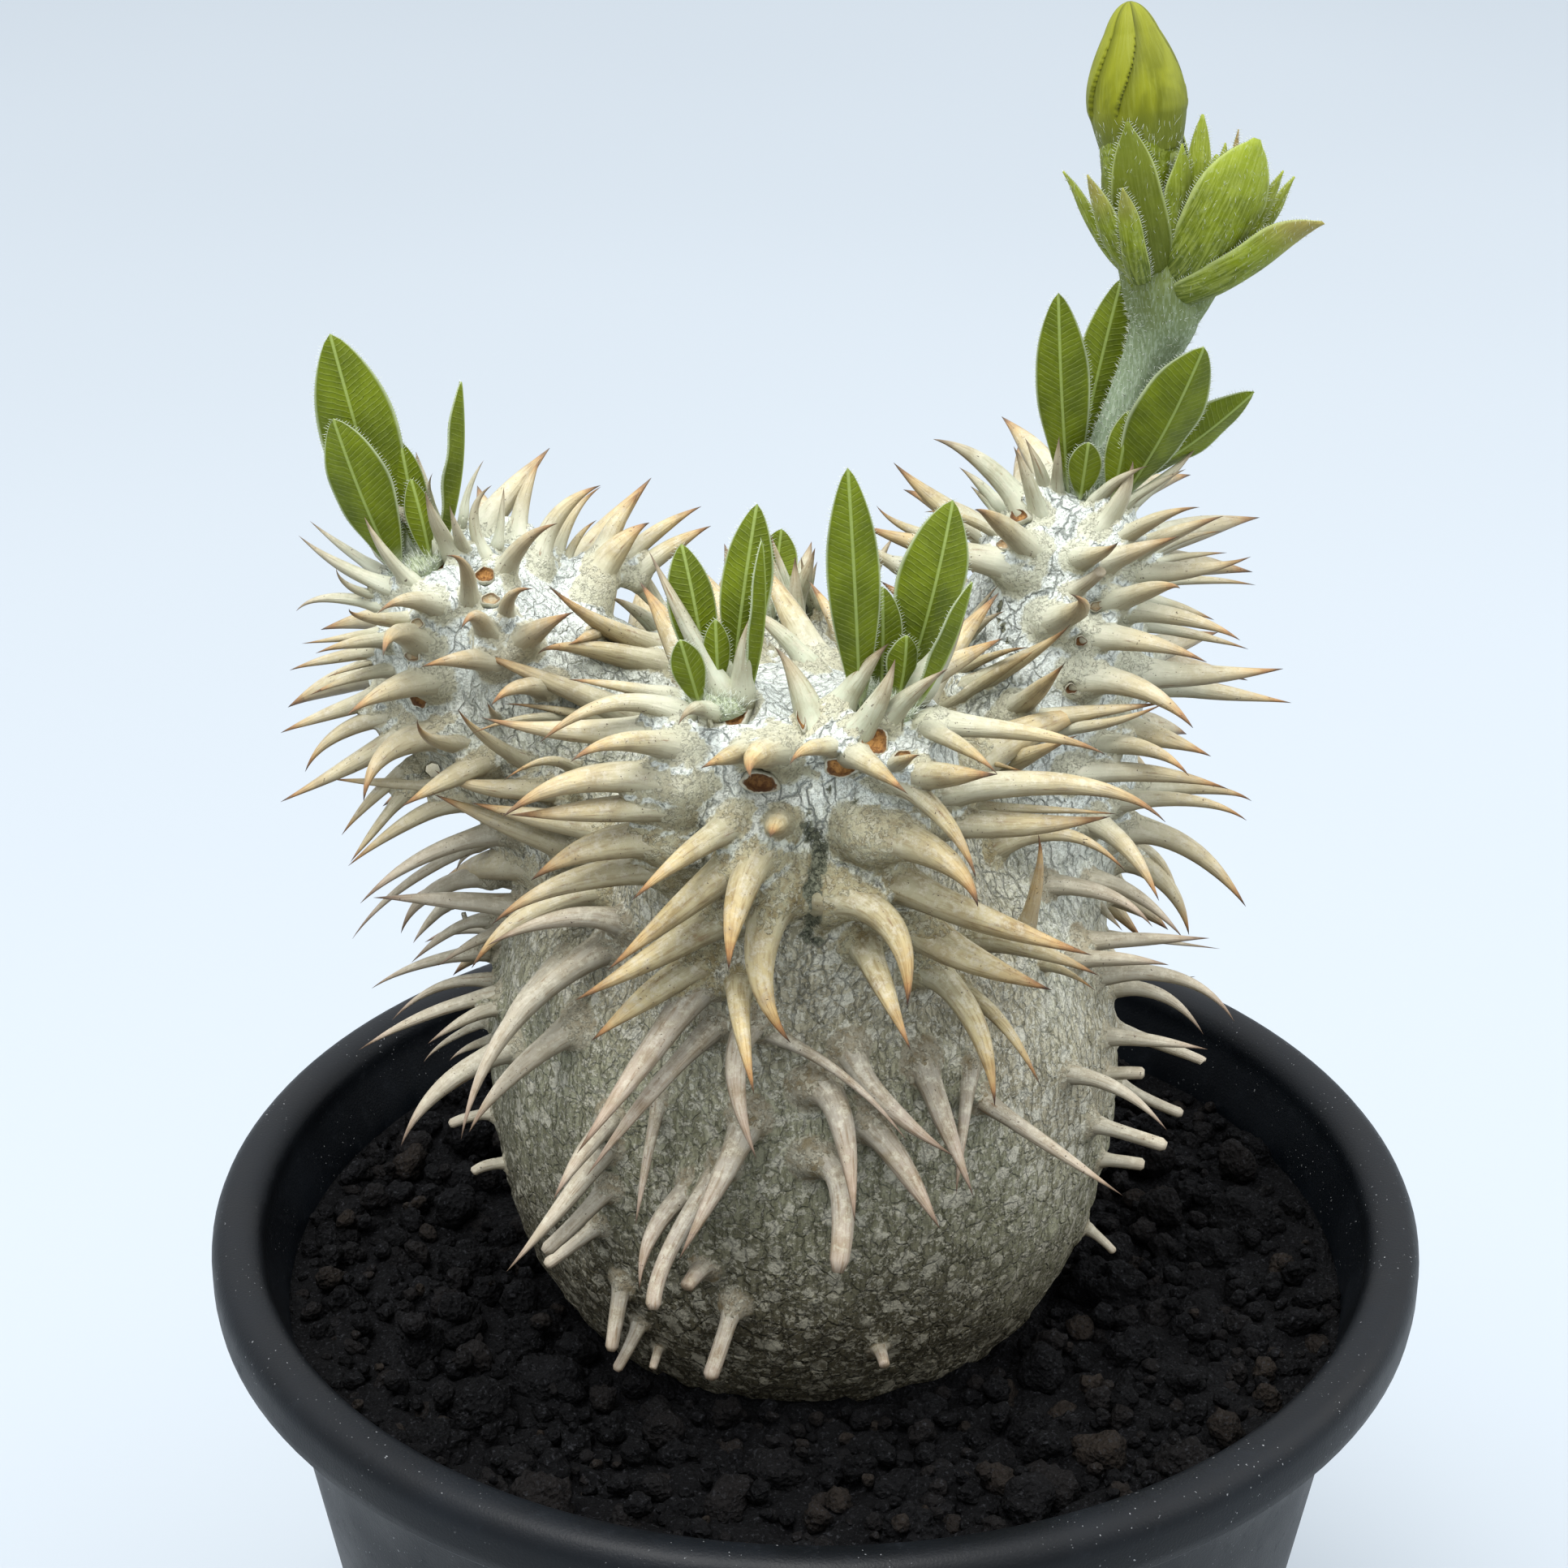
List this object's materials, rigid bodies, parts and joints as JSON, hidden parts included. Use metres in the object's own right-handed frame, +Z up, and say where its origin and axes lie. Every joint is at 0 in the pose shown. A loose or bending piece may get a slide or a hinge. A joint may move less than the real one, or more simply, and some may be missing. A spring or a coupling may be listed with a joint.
{
  "type": "potted pachypodium",
  "caption": "Potted pachypodium: a swollen spiny caudex that forks into short leafy branch heads, one with a flower stalk and furled bud, standing in lava grit in a plain round plastic pot.",
  "frame": {"origin": "centre of the pot's underside", "axes": "+Z up along the pot's axis, -Y towards the plant's front, +X to the right seen from the front"},
  "size_m": [0.13, 0.13, 0.2265],
  "materials": {
    "pot_plastic": "matte black with a soft sheen on the rim",
    "lava_grit": "rough, dull, charcoal",
    "bark": "dull, flaky, beige grey and grey green",
    "leaf": "soft satin green with pale veins and downy margins",
    "stalk_skin": "downy grey green",
    "petal": "satin yellow green"
  },
  "bodies": {
    "root": {"pot": "pot_plastic", "soil": "lava_grit", "caudex": "bark", "leaves_left": "leaf", "leaves_front_left": "leaf", "leaves_front_right": "leaf", "leaves_right": "leaf", "leaves_back": "leaf", "flower_stalk": "stalk_skin", "flower_bud": "petal"}
  },
  "joints": []
}
